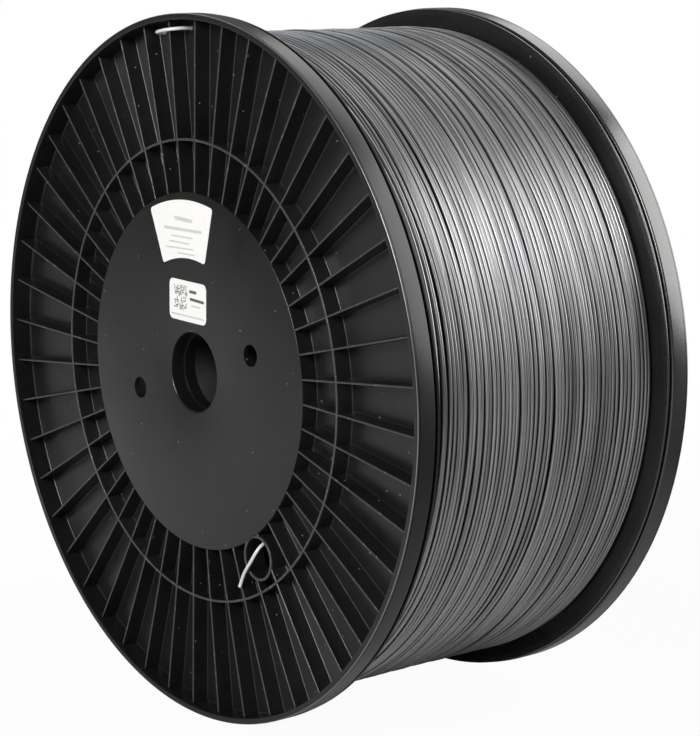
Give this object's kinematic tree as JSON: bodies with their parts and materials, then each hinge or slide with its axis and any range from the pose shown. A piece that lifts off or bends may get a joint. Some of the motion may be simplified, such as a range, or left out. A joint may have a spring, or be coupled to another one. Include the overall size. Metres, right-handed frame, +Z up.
{
  "type": "filament spool",
  "caption": "Large flanged filament spool with ribbed moulded flanges, a central spindle bore and drive holes, full of wound plastic filament.",
  "frame": {"origin": "centre of the spool, on its axis, half way between the two rims", "axes": "+Y along the spool's axis towards the flange without labels, +Z up"},
  "size_m": [0.355, 0.1711, 0.355],
  "materials": {
    "flange_plastic": "satin injection-moulded black plastic, lightly scuffed",
    "filament": "silver-grey filament with a soft metallic sheen",
    "label": "matt white paper sticker"
  },
  "bodies": {
    "root": {"near_flange": "flange_plastic", "far_flange": "flange_plastic", "barrel": "flange_plastic", "filament_core": "filament", "filament_outer_layer": "filament", "filament_tail": "filament", "filament_start": "filament", "fan_label": "label", "card_label": "label"}
  },
  "joints": []
}
